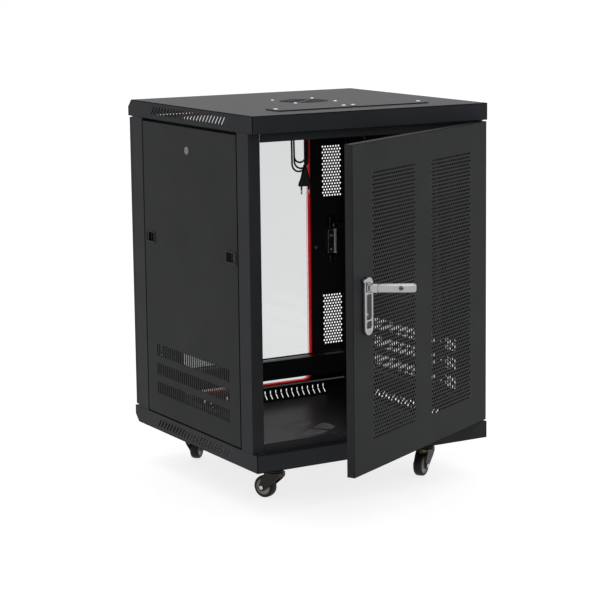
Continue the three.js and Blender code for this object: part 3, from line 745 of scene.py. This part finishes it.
def lock_barrel(piece):
    profile = [(0, -5.4), (6.6, -5.4), (7, -4.8), (7, 7.2), (6.4, 8.1), (5.5, 8.1), (5.1, 7.5),
               (0, 7.5)]
    place = shift(0, 0, -57) @ OUTWARD
    piece.add(lathe(profile, 28), CHROME, place)
    piece.add(disc(5, 7.4, 7.62, 0.1, 24), GUNMETAL_AND_POCKET_SHADE, place)
    # the keyhole: a bar of painted shade
    piece.add(rounded_box(-0.9, 0.9, -7.75, -7.0, -60.4, -53.6, 0), PAINTED_SHADE)


def build_handle(prefix, door, material, slot, swing, lift):
    """Each part of a handle rides on its own body. swing and lift are what the photo shows."""
    origin = door @ shift(*HANDLE)
    hub = origin @ turn("Y", -swing)
    lever = hub @ shift(0, PIVOT, 0) @ turn("X", -lift)
    piece = Piece(f"{prefix}_handle_base", prefix, origin)
    handle_plate(piece, material)
    piece.done(slot, f"{prefix}_handle_plate")
    piece = Piece(f"{prefix}_handle_cam_hub", f"{prefix}_hub", hub)
    handle_hub(piece, material)
    piece.done(slot, f"{prefix}_handle_hub")
    piece = Piece(f"{prefix}_handle_grip", f"{prefix}_lever", lever)
    handle_lever(piece, material)
    piece.done(slot, f"{prefix}_handle_lever")
    piece = Piece(f"{prefix}_lock_barrel", f"{prefix}_lock", lever)
    lock_barrel(piece)
    piece.done("lock_chrome", f"{prefix}_lock_cylinder")


def lock_case(door):
    """The bracket behind a swing handle, screwed to the inside of the door's skin."""
    at = shift(*HANDLE)
    door.add(rounded_box(-13, 13, 1.5, 3.5, -74, -12, 0.4), ZINC, at)
    # painted shade: a dark box in the middle of the bracket, between its side walls
    door.add(rounded_box(-8, 8, 3.4, 4.6, -70, -16, 0.6), PAINTED_SHADE, at)
    for x in (-13, 10.6):
        door.add(rounded_box(x, x + 2.4, 2, 11, -74, -12, 0.5), ZINC, at)
    for z in (-64, -28):
        screw(door, HANDLE[0], DOOR_FACE + 4.5, HANDLE[2] + z, Y, 5, ZINC, 3)
    door.add(rounded_box(-11, 11, 1.5, 14, -10, 20, 1.5), GUNMETAL_AND_POCKET_SHADE, at)
    door.add(rounded_box(-8, 8, 1.5, 9, -96, -76, 2), GUNMETAL_AND_POCKET_SHADE, at)
    door.add(rounded_box(-30, -11, 5, 9, -2, 12, 0.8), GUNMETAL_AND_POCKET_SHADE, at)


# ---- Side locks and latches ----

def side_lock(side, sign):
    out = axes((0, sign, 0), Z, (sign, 0, 0), (sign * SIDE_FACE, *SIDE_LOCK))
    piece = Piece(f"{side}_cam_lock", f"side_lock_{side}")
    barrel = [(0, -16), (9.6, -16), (10, -15), (10, -0.6), (9.2, 0.9), (7.4, 0.9), (6.8, 0.2),
              (6.2, 0.2), (5.6, 0.8), (0, 0.8)]
    piece.add(lathe(barrel), GUNMETAL_AND_POCKET_SHADE, out)
    ring = plate(circle(0, 0, 5.4, 28), [circle(0, 0, 4.4, 28)], 0.7, 0.15)
    piece.add(ring, CHROME, out @ shift(0, 1.2, 0.4))
    # the keyhole, painted shade: a dark bar and a dark disc in the lock's face
    piece.add(rounded_box(-0.9, 0.9, -3.4, 3.4, 0.6, 0.95, 0), PAINTED_SHADE, out @ shift(0, 1.2, 0))
    piece.add(disc(1.5, 0.6, 0.98, 0.1, 12), PAINTED_SHADE, out @ shift(0, 2.8, 0))
    cam = round_rectangle(-7, 7, -8, 38, 6)
    piece.add(plate(cam, [], 3, 0.4), ZINC, out @ shift(0, 0, -19))
    piece.done("lock_chrome", f"side_lock_{side}")


def build_side_fittings():
    pocket = 11.7  # half the height of the box behind a latch, whose back and walls are painted shade
    for side, sign in (("left", -1), ("right", 1)):
        side_lock(side, sign)
        at = axes((0, sign, 0), Z, (sign, 0, 0), (sign * SIDE_FACE, 0, LATCH_HEIGHT))
        bezels = Piece(f"{side}_latch_bezels", f"side_panel_{side}")
        for end, ey in (("front", -1), ("rear", 1)):
            facing = sign * ey

            def span(a, b):
                return sorted((facing * a, facing * b))

            opening = span(176.5, 214)
            bezel = plate(round_rectangle(*span(172.5, 218.5), -14, 14, 2.5),
                          [rectangle(*opening, -10.3, 10.3)], 1.6, 0.6, 2)
            bezels.add(bezel, BLACK_PLASTIC, at)
            low, high = opening[0] - 2, opening[1] + 1
            # the back and the walls of the pocket are painted shade
            back = rounded_box(low, high, -pocket, pocket, -11.6, -10.6, 0)
            bezels.add(back, PAINTED_SHADE, at)
            for wall in (-pocket, pocket - 1):
                bezels.add(rounded_box(low, high, wall, wall + 1, -11, 0.4, 0), PAINTED_SHADE, at)
            inside = low if facing > 0 else high
            bezels.add(rounded_box(inside, inside + 1, -pocket, pocket, -11, 0.4, 0), PAINTED_SHADE, at)
            thumb = Piece(f"{side}_{end}_latch_thumb", f"side_latch_{end}_{side}")
            # the slide, its raised end, the rib across it and the tongue behind the post
            for along, half, low, high, radius in (((184.2, 213.8), 9.8, -10, -5.5, 0.8),
                                                   ((205.5, 213.8), 9.8, -6, 0.4, 0.8),
                                                   ((195, 197.2), 8, -6, -2.5, 0.6),
                                                   ((212, 224), 6, -10, -6, 0.6)):
                thumb.add(rounded_box(*span(*along), -half, half, low, high, radius),
                          BLACK_PLASTIC, at)
            thumb.done("black_plastic", f"side_latch_{end}_{side}")
        bezels.done("black_plastic")


# ---- Casters ----

CASTERS = {"front_left": (-200, -198, -63), "front_right": (200, -198, 32),
           "rear_left": (-200, 198, -136), "rear_right": (200, 198, 100)}


AXLE = (-26, 0, 25)


def caster_bracket(piece):
    hat = [(-48, 0), (-39.4, 0), (-39.4, -16.3), (39.4, -16.3), (39.4, 0), (48, 0), (48, -2),
           (41.4, -2), (41.4, -18), (-41.4, -18), (-41.4, -2), (-48, -2)]
    piece.add(plate(hat[::-1], [], 72, 0.4), POWDER, axes(X, Z, (0, -1, 0), (0, 36, 91.7)))
    bolts = [(x, y) for x in (-25, 25) for y in (-18, 18)]
    corners = [circle(x, y, 2.4, 12) for x, y in bolts]
    piece.add(plate(round_rectangle(-31, 31, -25, 25, 3), corners, 3, 0.6), CASTER_BLACK,
              shift(0, 0, 70.9))
    for x, y in bolts:
        screw(piece, x, y, 71, (0, 0, -1))
    head = [(0, 71.4), (19, 71.4), (20, 70), (20, 67.6), (17, 66.6), (17, 65.6), (19.6, 64.8),
            (19.6, 62.6), (0, 62.4)]
    piece.add(lathe(head[::-1]), CASTER_BLACK)


def caster_fork(piece):
    leg = [(17, 61), (17, 52), (9, 42), (-17, 20), (-22, 16.4), (-27, 15.6), (-32, 17.4),
           (-35, 22), (-34.4, 28), (-27, 46), (-20, 56), (-20, 61)]
    axle_hole = circle(AXLE[0], AXLE[2], 4, 16)
    for y, inward in ((-15.5, 1), (15.5, -1)):
        side = plate(leg[::-1] if inward > 0 else leg, [axle_hole], 2.6, 0.6, 2)
        piece.add(side, CASTER_BLACK, axes(X, Z, (0, inward, 0), (0, y, 0)))
    crown = [(0, 62), (17, 62), (20, 60.6), (20, 58.6), (16, 57.6), (0, 57.6)]
    piece.add(lathe(crown[::-1]), CASTER_BLACK)
    piece.add(rounded_box(-20, 17, -15.3, 15.3, 57.8, 61, 1), CASTER_BLACK)
    piece.add(rounded_box(14.6, 17.4, -13.5, 13.5, 49.5, 61, 0.9), CASTER_BLACK)
    piece.add(rounded_box(-4, -1.5, -13.2, 13.2, 39.5, 58.2, 0.5), BRASSY)
    # the axle, its nut and its head
    across = shift(*AXLE) @ turn("X", 90)
    piece.add(disc(4, -17, 17, 0.4, 20), ZINC, across)
    piece.add(disc(5.4, 15.4, 19.4, 1.2, 6), ZINC, across)
    piece.add(disc(5.4, -19, -15.4, 1.6, 20), ZINC, across, smooth=True)


def caster_wheel(piece):
    tread = [(17.4, -9.6), (22.6, -9.6), (24.3, -8), (25, -4.5), (25, 4.5), (24.3, 8),
             (22.6, 9.6), (17.4, 9.6)]
    rim = [(4.3, -11), (9, -11), (9.6, -8.6), (15.8, -8), (16.6, -9.6), (17.6, -9.8),
           (17.6, 9.8), (16.6, 9.6), (15.8, 8), (9.6, 8.6), (9, 11), (4.3, 11)]
    across = turn("X", 90)
    piece.add(lathe([*tread, tread[0]], 48), TREAD, across, smooth=True)
    piece.add(lathe([*rim, rim[0]], 40), CORE, across)


def build_casters():
    for corner, (x, y, heading) in CASTERS.items():
        foot = PLACE @ shift(x, y, 0)
        mount = Piece(f"{corner}_caster_bracket", "cabinet", foot)
        caster_bracket(mount)
        mount.done("caster_steel", f"caster_mount_{corner}")
        swivel = foot @ turn("Z", heading)
        fork = Piece(f"{corner}_caster_yoke", f"caster_fork_{corner}", swivel)
        caster_fork(fork)
        fork.done("caster_steel", f"caster_fork_{corner}")
        wheel = Piece(f"{corner}_caster_tyre", f"caster_wheel_{corner}", swivel @ shift(*AXLE))
        caster_wheel(wheel)
        wheel.done("wheel_tread", f"caster_wheel_{corner}")


# ---- The fan's cord: out of the housing, three hanging turns held by a tie, down to the plug ----

CORD_RADIUS = 2.1
SPACING = 6  # between the points of a straight run
DROP = (-48, -84)
LEAD = [(-45, -60.3, 838), (-45, -65, 838), (-45.4, -69.9, 836.2), (-46.9, -73.6, 832.2),
        (-49.6, -74.9, 827), (-53.2, -73.6, 821.4), (-57.2, -70.6, 816), (-61.2, -67, 810),
        (-64.6, -63.8, 803), (-67, -61.6, 794.5)]
TAIL = [(-34.1, -74.4, 792.1), (-37.3, -76.6, 796), (-40.6, -78.9, 797), (-44, -81.2, 796),
        (-47.2, -83.4, 792.1), (*DROP, 787.8),
        *[(*DROP, 723.3 + SPACING * i) for i in range(10, -1, -1)]]
TURNS = [(17.9, 706), (14.6, 727), (17.2, 714)]
COIL = (-50.5, -60.6, 803)
STRAND_STEP = 4.4


def hank():
    """Three hanging loops side by side, each with its own half width and lowest point."""
    cx, cy, top = COIL
    points = []
    angles = [math.pi * i / 10 for i in range(11)]
    for number, (half, bottom) in enumerate(TURNS):
        final = number == len(TURNS) - 1
        last = TURNS[number - 1][0] if number else half
        following = half if final else TURNS[number + 1][0]
        low, bend = bottom + half, (half + following) / 2
        start, end = top - (last + half) / 2, top - bend
        count = round((start - low) / SPACING)
        path = [(-half, start + (low - start) * i / count) for i in range(count)]
        path += [(-half * math.cos(a), low - half * math.sin(a)) for a in angles]
        path += [(half, low + (end - low) * i / count) for i in range(1, count + 1)]
        if not final:
            path += [(half - bend + bend * math.cos(a), end + bend * math.sin(a))
                     for a in angles[1:-1]]
        for i, (x, z) in enumerate(path):
            points.append((cx + x, cy - STRAND_STEP * (number + i / len(path)), z))
    return points


def smooth_path(points, per=6):
    """Catmull-Rom through the points."""
    knots = [Vector(p) for p in points]
    knots = [2 * knots[0] - knots[1], *knots, 2 * knots[-1] - knots[-2]]
    made = []
    for i in range(1, len(knots) - 2):
        a, b, c, d = knots[i - 1], knots[i], knots[i + 1], knots[i + 2]
        for j in range(per):
            t = j / per
            made.append(0.5 * (2 * b + (c - a) * t + (2 * a - 5 * b + 4 * c - d) * t * t
                               + (3 * b - a - 3 * c + d) * t * t * t))
    return [*made, knots[-2]]


def loft(sections, sides=24, power=3.0):
    """A body through rounded rectangles, each (z, half width, half thickness)."""
    made = bmesh.new()
    rings = []
    for z, w, t in sections:
        ring = []
        for i in range(sides):
            c, s = math.cos(i * math.tau / sides), math.sin(i * math.tau / sides)
            x = math.copysign(abs(c) ** (2 / power), c) * w
            y = math.copysign(abs(s) ** (2 / power), s) * t
            ring.append(made.verts.new((x, y, z)))
        rings.append(ring)
    for low, high in zip(rings, rings[1:]):
        for i in range(sides):
            j = (i + 1) % sides
            made.faces.new((low[i], low[j], high[j], high[i]))
    made.faces.new(rings[0][::-1])
    made.faces.new(rings[-1])
    bmesh.ops.recalc_face_normals(made, faces=made.faces)
    return made


def build_cord():
    plug = Piece("plug_body", "cabinet", PLACE @ shift(*DROP, 0))
    body = [(674.6, 15.4, 5.2), (675.4, 16.6, 6.2), (679, 16.8, 6.5), (684, 15.2, 6.5),
            (690, 12, 6.3), (698, 9.4, 5.9), (706, 7.6, 5.2), (712, 5.6, 4.4), (714, 4.6, 3.9),
            (722.6, 3.4, 3.2), (723, 2.6, 2.5)]
    plug.add(loft(body), CORD, smooth=True)
    for x in (-9.5, 9.5):
        plug.add(disc(2, 656.4, 667, 0.8, 16), CHROME, shift(x, 0, 0), smooth=True)
        plug.add(disc(2.05, 666.8, 676, 0.1, 16), CORD, shift(x, 0, 0), smooth=True)
    plug_made = plug.done("cord_black", "cord_plug")
    tie = Piece("cord_tie", "cabinet")
    ring = round_rectangle(-77.6, -57.6, 796.5, 806.5, 3)
    inner = round_rectangle(-76.6, -58.6, 797.5, 805.5, 2.4)
    tie.add(plate(ring, [inner], 3.4, 0.3), CORD, axes(Y, Z, X, (-58.7, 0, 0)))
    tie.done("cord_black")
    path = smooth_path([*LEAD, *hank(), *TAIL])
    curve = bpy.data.curves.new("fan_lead", "CURVE")
    curve.dimensions = "3D"
    curve.bevel_depth = CORD_RADIUS * MM
    curve.bevel_resolution = 4
    curve.use_fill_caps = True
    spline = curve.splines.new("POLY")
    placed = [PLACE @ p for p in path]
    spline.points.add(len(placed) - 1)
    for point, p in zip(spline.points, placed):
        point.co = (*p, 1)
    curve.materials.append(CORD)
    lead = bpy.data.objects.new("fan_lead", curve)
    bpy.context.collection.objects.link(lead)
    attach(lead, "cabinet")
    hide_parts("fan_cord", "cord_hank", "cord_tail")


# ---- Carried-over CAD nodes get their finishes here ----

def dress(material, name):
    mesh = nodes[name].data
    mesh.materials.clear()
    mesh.materials.append(material)


def dress_frame():
    for name in nodes:
        if name.startswith("post_"):
            dress(POWDER, name)
        elif name.startswith(("brace_", "rail_")) or name == "rear_cross_beam":
            dress(RAIL, name)
        elif name in ("top_cover", "base_tray") or name.startswith("cable_plate"):
            dress(COVER_PAINTED_SHADE_POWDER, name)
        elif name.startswith("fan_"):
            dress(FAN_PLASTIC, name)
        elif name.startswith("cord_"):
            dress(CORD, name)
        elif "_pin_" in name or name.endswith("lock_cylinder") or name.startswith("side_lock"):
            dress(CHROME, name)
        elif name.startswith("mesh_door_handle"):
            dress(SATIN, name)
        elif name.startswith(("glass_door_handle", "side_latch")):
            dress(BLACK_PLASTIC, name)
        elif name == "glass_door_trim":
            dress(RED, name)
        elif name == "glass_door_pane":
            dress(GLASS, name)
        elif name.startswith("caster_wheel"):
            dress(TREAD, name)
        elif name.startswith("caster_"):
            dress(CASTER_BLACK, name)
        else:
            dress(PANEL, name)


make_camera()
make_studio()
dress_frame()
build_cord()
build_trays()
build_rails()
build_mesh_door()
build_glass_door()
build_side_panels()
build_side_fittings()
build_handle("mesh_door", MESH_DOOR, SATIN, "handle_zinc", 90, 60)
build_handle("glass_door", GLASS_DOOR, BLACK_PLASTIC, "black_plastic", 0, 0)
build_casters()
